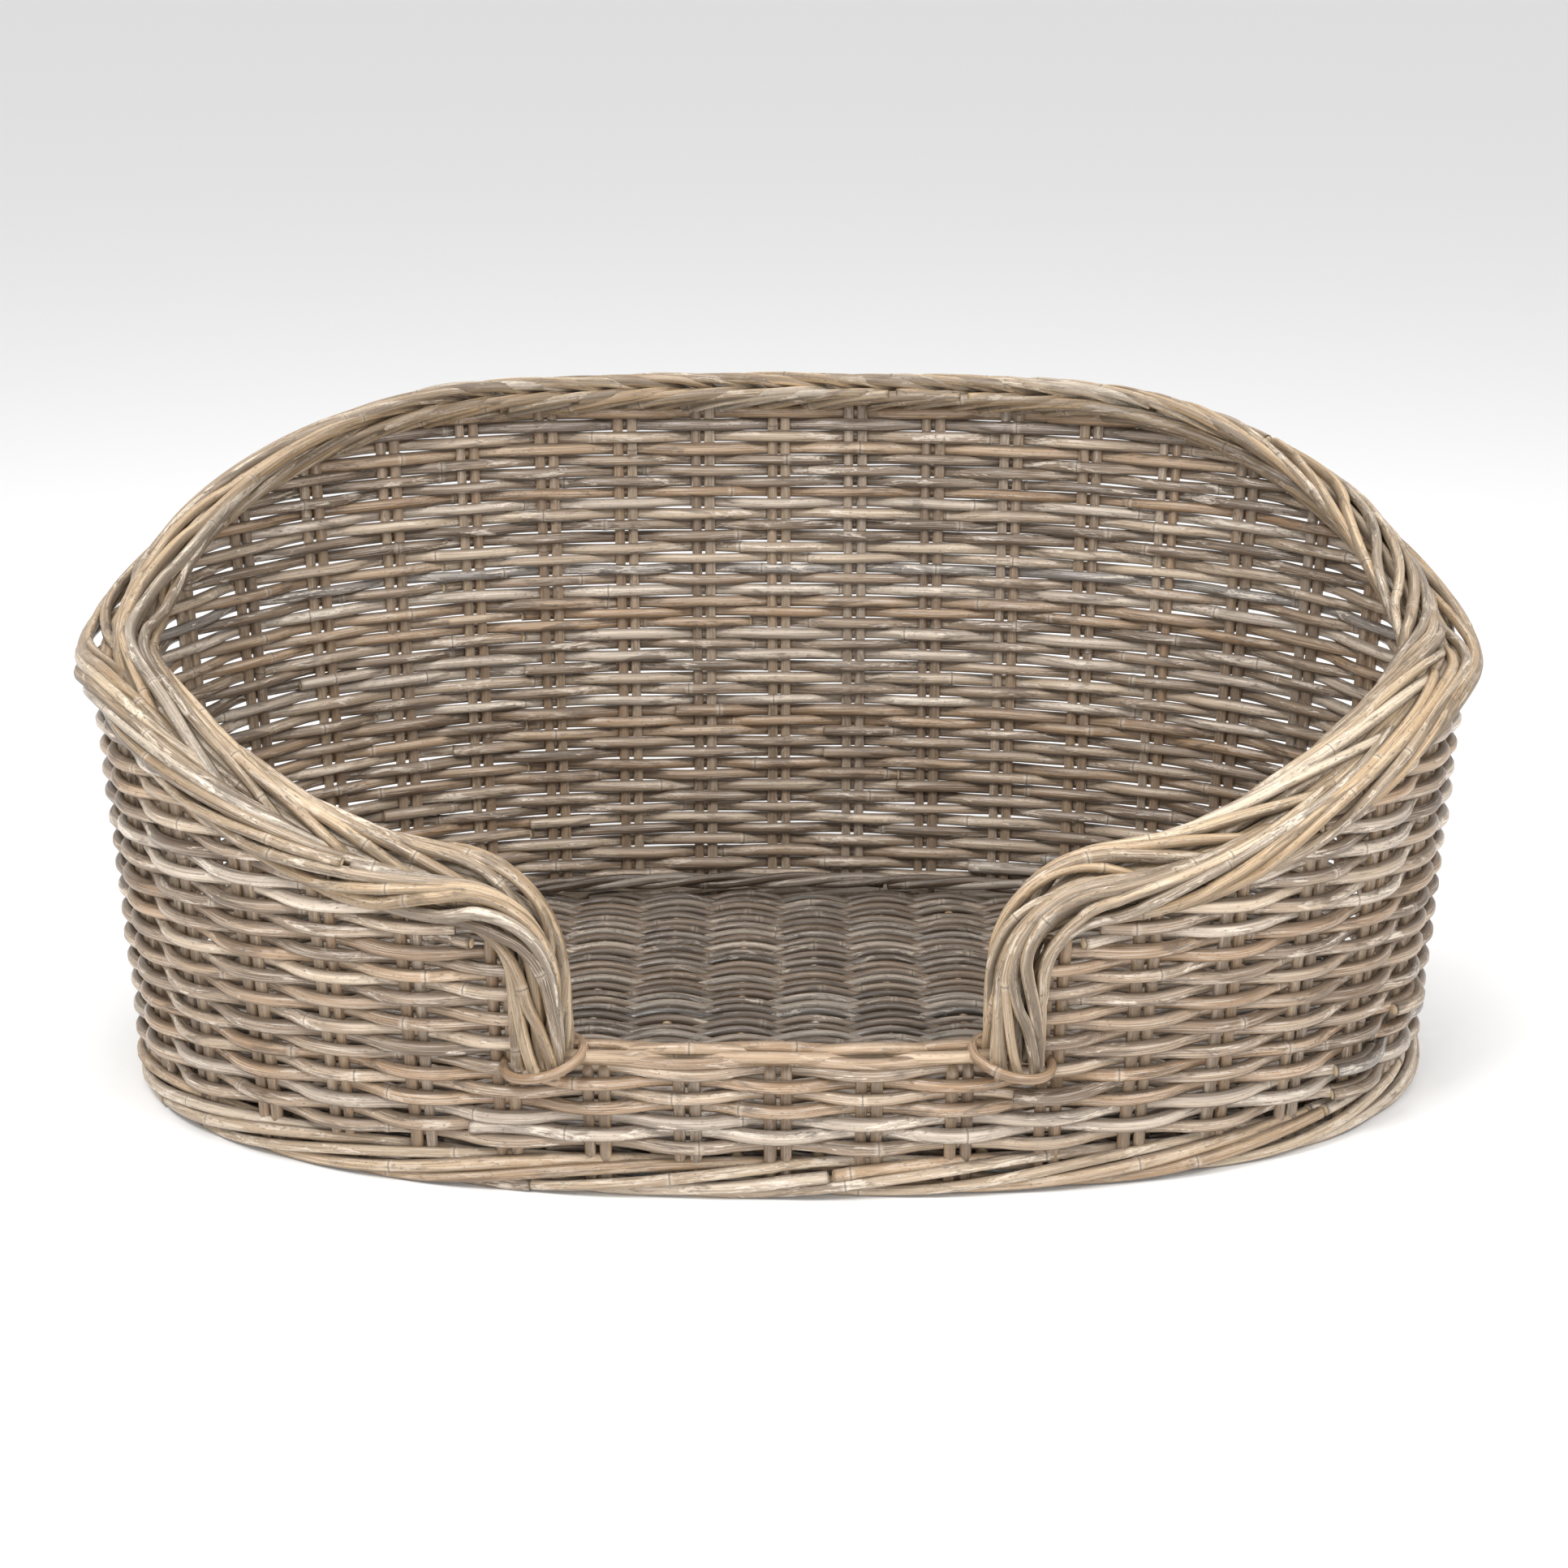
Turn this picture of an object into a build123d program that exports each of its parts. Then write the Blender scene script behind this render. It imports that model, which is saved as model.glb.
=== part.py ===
"""Oval wicker pet basket: woven floor, flared siding on stake pairs, rolled rim and a low front sill."""

from build123d import *

import os
from bisect import bisect_left
from math import copysign, cos, degrees, hypot, pi, radians, sin, tau

# ---- driving dimensions, millimetres ---------------------------------------------------------------
# Plan: the middle of the siding's thickness, at floor level, is a superellipse.
BASE_HALF_LENGTH = 455.0
BASE_HALF_DEPTH = 268.0
OVAL_EXPONENT = 2.35
PLAN_SHIFT = -19.43           # moves the plan along Y so that the bounding box is centred on the origin
SIDE_FLARE = 25.0             # how far the siding leans out over RIM_BACK_HEIGHT, at the two sides
FRONT_BACK_FLARE = 47.0       # the same at the front and at the back

# Rim: height of its middle line, from the back round the shoulders and sides to the front arms.
RIM_BACK_HEIGHT = 425.0
SHOULDER_DROP = 113.0         # fall from the back to the sides
SHOULDER_TURN = (24.0, 98.0)  # degrees from the back over which it falls
ARM_DROP = 95.0               # further fall from the sides to the front arms
ARM_TURN = (105.0, 157.0)
RIM_TILT = 25.0               # the rim's broad face leans outward by this angle
RIM_BACK_SECTION = (30.0, 15.0)    # half width and half thickness
RIM_SIDE_SECTION = (29.0, 16.0)
RIM_ARM_SECTION = (31.0, 20.0)
RIM_END_SECTION = (22.0, 21.0)
RIM_SIDE_TURN = 80.0          # degrees from the back by which the back's section has become the side's
RIM_ARM_TURN = (90.0, 150.0)  # degrees from the back over which the side's section becomes the arm's
RIM_SIDE_INSET = 10.0         # how far the rim lies inside the middle of the siding at the sides
RIM_BEND_STATION = 3.5        # where the rim starts to turn down
END_BEND_RADIUS = 52.0        # the rim turns down beside the opening
RIM_END_X = 153.0             # middle line of the upright end of the rim
RIM_END_OUTSET = 4.0          # the upright end stands this far outside the siding's middle

# Siding and stakes
SIDING_THICKNESS = 22.0
SIDING_HEAD_DEPTH = 1.1       # the siding ends this many rim half thicknesses under the rim
SIDING_HEAD_GAP = 5.5         # and this much lower still
STAKE_PAIRS = 40
STAKE_DIAMETER = 8.4
STAKE_GAP = 2.2               # between the two canes of a pair
CLEARANCE = 0.3
STAKE_FOOT_GAP = 0.8          # clear of the foot border
STAKE_HEAD_GAP = 4.0          # clear of the rim
TUNNEL_OVERRUN = 12.0         # the tunnels are cut past both ends of the siding
SILL_HEIGHT = 95.0            # top of the front siding under the sill cane
ARM_SIDING_START = 3.25       # station where the siding beside the opening begins
SILL_END_GAP = 0.05           # stations between the sill's siding and the siding beside it
LAST_SILL_PAIR = 3            # stake pairs up to this station end at the sill

# Floor and foot
FOOT_HEIGHT = 28.0
FOOT_OUTSET = 15.0            # outer face of the foot border, from the siding's middle
FOOT_INSET = 10.0
FLOOR_UNDERSIDE = 12.0
FLOOR_TOP = 30.0
STICK_DIAMETER = 9.0
STICK_COUNT = 16
STICK_PITCH = 54.5
STICK_END_GAP = 10.0          # from a stick's end to the edge of the floor
WALE_SIZE = 14.0              # inner ring of waling, where floor and siding meet
SILL_CANE_DIAMETER = 9.0
TIE_DIAMETER = 7.0
TIE_MARGIN = 1.5              # from the rim's end to the inside of the tie ring
TIE_LIFT = 1.0                # from the top of the siding to the tie ring
FOOT_ROUNDING = 8.0
WALE_ROUNDING = 5.0
SILL_CANE_REACH = 1.85        # stations that the sill cane runs to each side of the middle

# Fineness of the lofts and of the directions taken along a curve
LOFT_STEPS = 4
TURN_STEP = 0.002             # radians
BEND_STEP = 2.0               # degrees

STAKE_RADIUS = STAKE_DIAMETER / 2
STAKE_OFFSET = (STAKE_DIAMETER + STAKE_GAP) / 2
OVAL_POINTS = 64

os.makedirs("parts", exist_ok=True)


def finish(part, name):
    """Label a finished piece and write it as parts/<name>.step."""
    part.label = name
    export_step(part, f"parts/{name}.step")


def smooth(value):
    """Ease from 0 to 1 with a level start and end."""
    value = min(max(value, 0.0), 1.0)
    return value * value * (3 - 2 * value)


# ---- plan of the basket ----------------------------------------------------------------------------
def base_point(turn):
    """Point of the floor-level superellipse; turn runs counter-clockwise from +X, in radians."""
    x = BASE_HALF_LENGTH * copysign(abs(cos(turn)) ** (2 / OVAL_EXPONENT), cos(turn))
    y = BASE_HALF_DEPTH * copysign(abs(sin(turn)) ** (2 / OVAL_EXPONENT), sin(turn))
    return x, y


def outward(turn):
    """Unit vector square to the superellipse, pointing out."""
    x, y = base_point(turn)
    nx = copysign((abs(x) / BASE_HALF_LENGTH) ** (OVAL_EXPONENT - 1) / BASE_HALF_LENGTH, x)
    ny = copysign((abs(y) / BASE_HALF_DEPTH) ** (OVAL_EXPONENT - 1) / BASE_HALF_DEPTH, y)
    size = hypot(nx, ny)
    return Vector(nx / size, ny / size, 0)


def lean(turn):
    """How far the siding leans out per unit of height."""
    return (SIDE_FLARE + (FRONT_BACK_FLARE - SIDE_FLARE) * outward(turn).Y ** 2) / RIM_BACK_HEIGHT


def wall_point(turn, height, offset=0.0):
    """Point on the middle of the siding, or offset outward from it. The siding is straight upward."""
    x, y = base_point(turn)
    return Vector(x, y + PLAN_SHIFT, height) + outward(turn) * (offset + lean(turn) * height)


def station_table(steps=4000):
    """Turn values and the arc length up to each, starting at the middle of the front."""
    turns = [-pi / 2 + tau * i / steps for i in range(steps + 1)]
    points = [base_point(turn) for turn in turns]
    lengths = [0.0]
    for (x0, y0), (x1, y1) in zip(points, points[1:]):
        lengths.append(lengths[-1] + hypot(x1 - x0, y1 - y0))
    return turns, lengths


TURNS, LENGTHS = station_table()
PITCH = LENGTHS[-1] / STAKE_PAIRS


def turn_at(station):
    """Turn at a station. Stations count stake pairs from the front middle, to the right and round."""
    length = (station * PITCH) % LENGTHS[-1]
    i = max(bisect_left(LENGTHS, length), 1)
    part = (length - LENGTHS[i - 1]) / (LENGTHS[i] - LENGTHS[i - 1])
    return TURNS[i - 1] + part * (TURNS[i] - TURNS[i - 1])


# ---- rim line --------------------------------------------------------------------------------------
def from_back(turn):
    """Degrees between a turn and the middle of the back, 0 to 180."""
    return abs((degrees(turn) + 90) % 360 - 180)


def rim_height(turn):
    """Height of the rim's middle line."""
    angle = from_back(turn)
    shoulder = smooth((angle - SHOULDER_TURN[0]) / (SHOULDER_TURN[1] - SHOULDER_TURN[0]))
    arm = smooth((angle - ARM_TURN[0]) / (ARM_TURN[1] - ARM_TURN[0]))
    return RIM_BACK_HEIGHT - SHOULDER_DROP * shoulder - ARM_DROP * arm


def rim_section(turn):
    """Half width, half thickness and inward shift of the rim at a turn."""
    angle = from_back(turn)
    to_side = smooth(angle / RIM_SIDE_TURN)
    to_arm = smooth((angle - RIM_ARM_TURN[0]) / (RIM_ARM_TURN[1] - RIM_ARM_TURN[0]))
    back, side, arm = RIM_BACK_SECTION, RIM_SIDE_SECTION, RIM_ARM_SECTION
    sizes = [b + (s - b) * to_side + (a - s) * to_arm for b, s, a in zip(back, side, arm)]
    return sizes[0], sizes[1], RIM_SIDE_INSET * to_side


def rim_centre(turn):
    """Point on the rim's middle line."""
    return wall_point(turn, rim_height(turn), -rim_section(turn)[2])


def siding_top(turn):
    """Height of the siding just under the rim."""
    return rim_height(turn) - SIDING_HEAD_DEPTH * rim_section(turn)[1] - SIDING_HEAD_GAP


def rim_plane(centre, along, normal, tilt):
    """Section plane of the rim: its X axis is the broad direction, leaning down on the outside."""
    upward = along.cross(normal).normalized()
    broad = normal * cos(radians(tilt)) - upward * sin(radians(tilt))
    return Plane(origin=centre, x_dir=broad, z_dir=along)


def rim_station(station, side):
    """Plane and half sizes of the rim's section at a station. side is 1 on the right, -1 on the left."""
    turn = turn_at(station)
    along = (rim_centre(turn - side * TURN_STEP) - rim_centre(turn + side * TURN_STEP)).normalized()
    width, thickness, _ = rim_section(turn)
    return rim_plane(rim_centre(turn), along, outward(turn) * side, side * RIM_TILT), width, thickness


# ---- builders for repeated pieces ------------------------------------------------------------------
def radial_plane(turn, height=0.0):
    """Upright plane across the siding: X points out of the basket, Y points up."""
    normal = outward(turn)
    return Plane(origin=wall_point(turn, height), x_dir=normal, z_dir=normal.cross(Vector(0, 0, 1)))


def stake_line(station, shift):
    """Foot plane and length of one stake, which leans out with the siding."""
    turn = turn_at(station)
    along = Vector(0, 0, 1).cross(outward(turn)) * shift
    top = SILL_HEIGHT if abs(wrapped(station)) <= LAST_SILL_PAIR else siding_top(turn)
    foot = wall_point(turn, FOOT_HEIGHT + STAKE_FOOT_GAP) + along
    head = wall_point(turn, top - STAKE_HEAD_GAP) + along
    return Plane(origin=foot, z_dir=(head - foot)), (head - foot).length


def wrapped(station):
    """Station counted from -half to +half of the round, 0 at the front middle."""
    return (station + STAKE_PAIRS / 2) % STAKE_PAIRS - STAKE_PAIRS / 2


def pair_stations(start, end):
    """Whole stations between two boundaries."""
    return [n for n in range(-STAKE_PAIRS, STAKE_PAIRS * 2) if start < n < end]


def siding_panel(start, end, top_at):
    """Woven panel between two stations, with a tunnel round each stake."""
    half = SIDING_THICKNESS / 2
    with BuildPart() as panel:
        for i in range(LOFT_STEPS + 1):
            turn = turn_at(start + (end - start) * i / LOFT_STEPS)
            top = top_at(turn)
            foot_x = lean(turn) * FOOT_HEIGHT
            top_x = lean(turn) * top
            with BuildSketch(radial_plane(turn)):
                with BuildLine():
                    Polyline(
                        (foot_x - half, FOOT_HEIGHT),
                        (foot_x + half, FOOT_HEIGHT),
                        (top_x + half, top),
                        (top_x - half, top),
                        close=True,
                    )
                make_face()
        loft(ruled=True)
        for station in pair_stations(start, end):
            for shift in (-STAKE_OFFSET, STAKE_OFFSET):
                plane, length = stake_line(station, shift)
                with BuildSketch(plane.offset(-TUNNEL_OVERRUN)):
                    Circle(STAKE_RADIUS + CLEARANCE)
                extrude(amount=length + 2 * TUNNEL_OVERRUN, mode=Mode.SUBTRACT)
    return panel.part


def stake_group(start, end):
    """The stake pairs between two stations, as separate straight canes."""
    with BuildPart() as stakes:
        for station in pair_stations(start, end):
            for shift in (-STAKE_OFFSET, STAKE_OFFSET):
                plane, length = stake_line(station, shift)
                with BuildSketch(plane):
                    Circle(STAKE_RADIUS)
                extrude(amount=length)
    return stakes.part


def rim_length(sections):
    """One length of the rim, lofted through its sections."""
    with BuildPart() as length:
        for plane, width, thickness in sections:
            with BuildSketch(plane):
                Ellipse(width, thickness)
        loft()
    return length.part


def oval_ring(outer, inner, low, high, rounding):
    """Oval ring between two offsets from the floor-level superellipse, with rounded upper edges."""
    with BuildPart() as ring:
        with BuildSketch(Plane.XY.offset(low)):
            with BuildLine():
                Spline(oval_outline(outer), periodic=True)
            make_face()
            with BuildLine():
                Spline(oval_outline(inner), periodic=True)
            make_face(mode=Mode.SUBTRACT)
        extrude(amount=high - low)
        fillet(ring.edges().group_by(Axis.Z)[-1], rounding)
    return ring.part


def oval_outline(offset):
    """Points of the floor-level superellipse moved outward by an offset."""
    points = []
    for i in range(OVAL_POINTS):
        turn = turn_at(STAKE_PAIRS * i / OVAL_POINTS)
        x, y = base_point(turn)
        normal = outward(turn)
        points.append((x + normal.X * offset, y + PLAN_SHIFT + normal.Y * offset))
    return points


# ---- floor -----------------------------------------------------------------------------------------
STICK_Z = (FLOOR_UNDERSIDE + FLOOR_TOP) / 2
stick_places = []
for index in range(STICK_COUNT):
    stick_x = (index - (STICK_COUNT - 1) / 2) * STICK_PITCH
    share = (1 - (abs(stick_x) / (BASE_HALF_LENGTH - FOOT_INSET)) ** OVAL_EXPONENT) ** (1 / OVAL_EXPONENT)
    stick_places.append((stick_x, (BASE_HALF_DEPTH - FOOT_INSET) * share - STICK_END_GAP))

with BuildPart() as base_weave:
    with BuildSketch(Plane.XY.offset(FLOOR_UNDERSIDE)):
        with BuildLine():
            Spline(oval_outline(-FOOT_INSET - CLEARANCE), periodic=True)
        make_face()
    extrude(amount=FLOOR_TOP - FLOOR_UNDERSIDE)
    for stick_x, half_length in stick_places:
        with BuildSketch(Plane.XZ.offset(-PLAN_SHIFT - half_length - CLEARANCE)):
            with Locations((stick_x, STICK_Z)):
                Circle(STICK_DIAMETER / 2 + CLEARANCE)
        extrude(amount=2 * (half_length + CLEARANCE), mode=Mode.SUBTRACT)
finish(base_weave.part, "base_weave")

with BuildPart() as base_sticks:
    for stick_x, half_length in stick_places:
        with BuildSketch(Plane.XZ.offset(-PLAN_SHIFT - half_length)):
            with Locations((stick_x, STICK_Z)):
                Circle(STICK_DIAMETER / 2)
        extrude(amount=2 * half_length)
finish(base_sticks.part, "base_sticks")

foot_border = oval_ring(FOOT_OUTSET, -FOOT_INSET, 0, FOOT_HEIGHT, FOOT_ROUNDING)
finish(foot_border, "foot_border")

wale_outer = -FOOT_INSET - CLEARANCE
floor_wale = oval_ring(wale_outer, wale_outer - WALE_SIZE, FLOOR_TOP, FLOOR_TOP + WALE_SIZE, WALE_ROUNDING)
finish(floor_wale, "floor_wale")


# ---- siding and stakes -----------------------------------------------------------------------------
def sill_top(turn):
    """Level top of the siding across the opening."""
    return SILL_HEIGHT


# Boundaries of the siding panels on the right half, in stations; the left half mirrors them. The rim's
# lengths have the same ones, except that the arm's starts at RIM_BEND_STATION.
SIDE_PANELS = {
    "arm": (ARM_SIDING_START, 5.5),
    "front_corner": (5.5, 7.5),
    "front_side": (7.5, 9.5),
    "side": (9.5, 11.5),
    "back_side": (11.5, 13.5),
    "back_corner": (13.5, 15.5),
    "back": (15.5, 18.5),
}
BACK_MIDDLE = (18.5, 21.5)

panels = {"front_sill": (SILL_END_GAP - ARM_SIDING_START, ARM_SIDING_START - SILL_END_GAP, sill_top)}
panels["back_middle"] = (*BACK_MIDDLE, siding_top)
for place, (start, end) in SIDE_PANELS.items():
    panels[f"right_{place}"] = (start, end, siding_top)
    panels[f"left_{place}"] = (STAKE_PAIRS - end, STAKE_PAIRS - start, siding_top)

for place, (start, end, top_at) in panels.items():
    finish(siding_panel(start, end, top_at), f"siding_{place}")
    finish(stake_group(start, end), f"stakes_{place}")


# ---- rolled rim ------------------------------------------------------------------------------------
def end_centre(side, angle):
    """Middle line where the rim turns down beside the opening, following the lean of the siding.

    The angle is 0 on the arm and 90 where the line is upright; beyond 90 it runs on down to the sill.
    """
    arm_turn = turn_at(side * RIM_BEND_STATION)
    arm = rim_centre(arm_turn)
    around = radians(min(angle, 90.0))
    share = min(angle, 90.0) / 90.0
    station = RIM_BEND_STATION - (abs(arm.X) - RIM_END_X) * sin(around) / PITCH
    height = arm.Z - END_BEND_RADIUS * (1 - cos(around)) - radians(max(angle - 90.0, 0.0)) * END_BEND_RADIUS
    inset = rim_section(arm_turn)[2] * (1 - share) - RIM_END_OUTSET * share
    return wall_point(turn_at(side * station), height, -inset)


def end_sections(side):
    """Sections of the rim's bend, from the arm to where it is upright."""
    normal = outward(turn_at(side * RIM_BEND_STATION))
    sections = [rim_station(side * RIM_BEND_STATION, side)]
    for i in range(1, LOFT_STEPS + 1):
        share = i / LOFT_STEPS
        angle = 90.0 * share
        along = (end_centre(side, angle + BEND_STEP) - end_centre(side, angle - BEND_STEP)).normalized()
        width = RIM_ARM_SECTION[0] + (RIM_END_SECTION[0] - RIM_ARM_SECTION[0]) * share
        thickness = RIM_ARM_SECTION[1] + (RIM_END_SECTION[1] - RIM_ARM_SECTION[1]) * share
        plane = rim_plane(end_centre(side, angle), along, normal * side, side * RIM_TILT * (1 - share))
        sections.append((plane, width, thickness))
    return sections


lengths = {"back_middle": (*BACK_MIDDLE, 1)}
for place, (start, end) in SIDE_PANELS.items():
    start = max(start, RIM_BEND_STATION)
    lengths[f"right_{place}"] = (start, end, 1)
    lengths[f"left_{place}"] = (-start, -end, -1)

for place, (start, end, side) in lengths.items():
    stations = [start + (end - start) * i / LOFT_STEPS for i in range(LOFT_STEPS + 1)]
    finish(rim_length([rim_station(station, side) for station in stations]), f"rim_{place}")

end_feet = {}
for side, name in ((1, "right"), (-1, "left")):
    bend = end_sections(side)
    finish(rim_length(bend), f"rim_{name}_bend")
    low_plane, width, thickness = bend[-1]
    drop = low_plane.origin.Z - SILL_HEIGHT
    end_feet[name] = end_centre(side, 90 + degrees(drop / END_BEND_RADIUS))
    foot_plane = Plane(origin=end_feet[name], x_dir=(0, -side, 0), z_dir=(0, 0, -1))
    finish(rim_length([bend[-1], (foot_plane, width, thickness)]), f"rim_{name}_end")


# ---- sill cane and tie rings -----------------------------------------------------------------------
with BuildPart() as sill_cane:
    for i in range(LOFT_STEPS + 1):
        turn = turn_at(SILL_CANE_REACH * (2 * i / LOFT_STEPS - 1))
        place = wall_point(turn, SILL_HEIGHT + SILL_CANE_DIAMETER / 2)
        with BuildSketch(Plane(origin=place, z_dir=Vector(0, 0, 1).cross(outward(turn)))):
            Circle(SILL_CANE_DIAMETER / 2)
    loft()
finish(sill_cane.part, "sill_cane")

for name, foot in end_feet.items():
    ring_plane = Plane(origin=(foot.X, foot.Y, SILL_HEIGHT + TIE_DIAMETER / 2 + TIE_LIFT))
    half_x = RIM_END_SECTION[1] + TIE_MARGIN + TIE_DIAMETER / 2
    half_y = RIM_END_SECTION[0] + TIE_MARGIN + TIE_DIAMETER / 2
    with BuildPart() as tie_ring:
        with BuildLine(ring_plane) as loop:
            EllipticalCenterArc((0, 0), half_x, half_y, arc_size=360)
        with BuildSketch(Plane(origin=loop.line @ 0, z_dir=loop.line % 0)):
            Circle(TIE_DIAMETER / 2)
        sweep()
    finish(tie_ring.part, f"tie_ring_{name}")
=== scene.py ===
"""Looks of the oval wicker pet basket: every cane is a tube of its own, laid round the CAD frame."""
import math

import bpy
import numpy as np
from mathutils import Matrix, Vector


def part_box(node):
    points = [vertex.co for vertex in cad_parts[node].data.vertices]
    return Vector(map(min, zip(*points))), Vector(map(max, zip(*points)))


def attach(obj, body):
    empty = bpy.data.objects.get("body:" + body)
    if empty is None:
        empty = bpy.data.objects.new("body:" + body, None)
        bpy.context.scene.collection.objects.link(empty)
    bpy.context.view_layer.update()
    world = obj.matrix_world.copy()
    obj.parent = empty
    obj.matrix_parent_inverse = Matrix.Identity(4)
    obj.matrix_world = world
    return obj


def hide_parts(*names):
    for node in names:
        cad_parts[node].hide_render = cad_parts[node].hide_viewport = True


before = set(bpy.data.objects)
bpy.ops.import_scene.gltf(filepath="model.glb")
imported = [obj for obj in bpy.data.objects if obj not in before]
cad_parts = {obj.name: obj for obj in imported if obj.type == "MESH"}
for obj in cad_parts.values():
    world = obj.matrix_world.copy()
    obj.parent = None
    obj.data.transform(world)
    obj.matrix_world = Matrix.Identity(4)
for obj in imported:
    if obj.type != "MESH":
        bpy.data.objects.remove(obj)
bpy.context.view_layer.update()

PI = math.pi
TAU = math.tau
MM = 0.001

# ---- sizes from the frame, in metres ---------------------------------------------------------------
foot_lo, foot_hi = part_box("foot_border")
back_lo, back_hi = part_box("rim_back_middle")
sticks_lo, sticks_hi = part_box("base_sticks")
wale_lo, wale_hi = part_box("floor_wale")
sill_lo, sill_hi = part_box("siding_front_sill")
end_lo, end_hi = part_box("rim_right_end")

FOOT_OUTSET = 15 * MM
FOOT_INSET = 10 * MM
OVAL_EXPONENT = 2.35
SIDE_FLARE = 25 * MM
END_FLARE = 47 * MM
HALF_LENGTH = (foot_hi[0] - foot_lo[0]) / 2 - FOOT_OUTSET
HALF_DEPTH = (foot_hi[1] - foot_lo[1]) / 2 - FOOT_OUTSET
PLAN_Y = (foot_hi[1] + foot_lo[1]) / 2
FOOT_HEIGHT = foot_hi[2]
RIM_BACK_HEIGHT = (back_lo[2] + back_hi[2]) / 2
SILL_HEIGHT = sill_hi[2]

SHOULDER_DROP = 113 * MM
SHOULDER_TURN = (24.0, 98.0)
ARM_DROP = 95 * MM
ARM_TURN = (105.0, 157.0)
RIM_TILT = math.radians(25)
RIM_BACK_SECTION = (30 * MM, 15 * MM)
RIM_SIDE_SECTION = (29 * MM, 16 * MM)
RIM_ARM_SECTION = (31 * MM, 20 * MM)
RIM_END_SECTION = (22 * MM, 21 * MM)
RIM_SIDE_TURN = 80            # degrees from the back by which the back's section has become the side's
RIM_ARM_TURN = (90, 150)      # degrees over which the side's section becomes the arm's
RIM_SIDE_INSET = 10 * MM
SIDING_HEAD_DEPTH = 1.1       # the siding ends this many of the rim's half thicknesses under its middle line
SIDING_HEAD_GAP = 5.5 * MM    # and this much lower still
RIM_BEND_STATION = 3.5
END_BEND_RADIUS = 52 * MM
RIM_END_X = (end_lo[0] + end_hi[0]) / 2
RIM_END_OUTSET = 4 * MM

STAKE_PAIRS = 40
STAKE_RADIUS = 4.2 * MM
STAKE_OFFSET = 5.3 * MM
LAST_SILL_PAIR = 2            # the pairs up to this one, counted from the front middle, end at the sill

UP = np.array([0.0, 0.0, 1.0])


# ---- plan and rim line, as arrays ------------------------------------------------------------------
def smooth(value):
    value = np.clip(value, 0.0, 1.0)
    return value * value * (3 - 2 * value)


def signed_power(value, power):
    return np.sign(value) * np.abs(value) ** power


def base_points(turn):
    x = HALF_LENGTH * signed_power(np.cos(turn), 2 / OVAL_EXPONENT)
    y = HALF_DEPTH * signed_power(np.sin(turn), 2 / OVAL_EXPONENT)
    return x, y


def outward(turn):
    """Unit normals of the floor-level oval, pointing out, as an array of rows."""
    x, y = base_points(turn)
    nx = signed_power(x / HALF_LENGTH, OVAL_EXPONENT - 1) / HALF_LENGTH
    ny = signed_power(y / HALF_DEPTH, OVAL_EXPONENT - 1) / HALF_DEPTH
    size = np.hypot(nx, ny)
    return np.stack([nx / size, ny / size, np.zeros_like(size)], axis=-1)


def wall(turn, height, offset=0.0):
    """Points on the middle of the siding at these turns and heights, moved outward by offset."""
    turn, height, offset = np.broadcast_arrays(np.asarray(turn, float), height, offset)
    x, y = base_points(turn)
    normal = outward(turn)
    flare = SIDE_FLARE + (END_FLARE - SIDE_FLARE) * normal[..., 1] ** 2
    points = np.stack([x, y + PLAN_Y, height], axis=-1)
    return points + normal * (offset + flare * height / RIM_BACK_HEIGHT)[..., None]


_turns = np.linspace(-PI / 2, 1.5 * PI, 8001)
_x, _y = base_points(_turns)
_lengths = np.concatenate([[0.0], np.cumsum(np.hypot(np.diff(_x), np.diff(_y)))])
PITCH = _lengths[-1] / STAKE_PAIRS


def turn_at(station):
    """Turn at a station; stations count stake pairs from the front middle, to the right and round."""
    rounds = np.floor(np.asarray(station) / STAKE_PAIRS)
    return np.interp(station - rounds * STAKE_PAIRS, _lengths / PITCH, _turns) + rounds * TAU


def from_back(turn):
    """Degrees between these turns and the middle of the back."""
    return np.abs((np.degrees(turn) - 90 + 180) % 360 - 180)


def rim_height(turn):
    angle = from_back(turn)
    shoulder = smooth((angle - SHOULDER_TURN[0]) / (SHOULDER_TURN[1] - SHOULDER_TURN[0]))
    arm = smooth((angle - ARM_TURN[0]) / (ARM_TURN[1] - ARM_TURN[0]))
    return RIM_BACK_HEIGHT - SHOULDER_DROP * shoulder - ARM_DROP * arm


def rim_section(turn):
    """Half width, half thickness and inward shift of the rim at these turns."""
    to_side = smooth(from_back(turn) / RIM_SIDE_TURN)
    to_arm = smooth((from_back(turn) - RIM_ARM_TURN[0]) / (RIM_ARM_TURN[1] - RIM_ARM_TURN[0]))
    back, side, arm = RIM_BACK_SECTION, RIM_SIDE_SECTION, RIM_ARM_SECTION
    width, thickness = [b + (s - b) * to_side + (a - s) * to_arm for b, s, a in zip(back, side, arm)]
    return width, thickness, RIM_SIDE_INSET * to_side


def siding_top(turn):
    """Height at which the CAD siding ends under the rim."""
    return rim_height(turn) - SIDING_HEAD_DEPTH * rim_section(turn)[1] - SIDING_HEAD_GAP


# ---- canes as tubes --------------------------------------------------------------------------------
rng = np.random.default_rng(7)


def wander(size, wave=0.16, terms=4):
    """A smooth random curve: a function of distance that stays within size."""
    waves = wave * rng.uniform(0.45, 2.2, terms)
    phases = rng.uniform(0, TAU, terms)
    sizes = rng.uniform(0.4, 1.0, terms)
    sizes *= size / sizes.sum()

    def curve(distance):
        return sum(a * np.sin(TAU * distance / w + p) for a, w, p in zip(sizes, waves, phases))

    return curve


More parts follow.
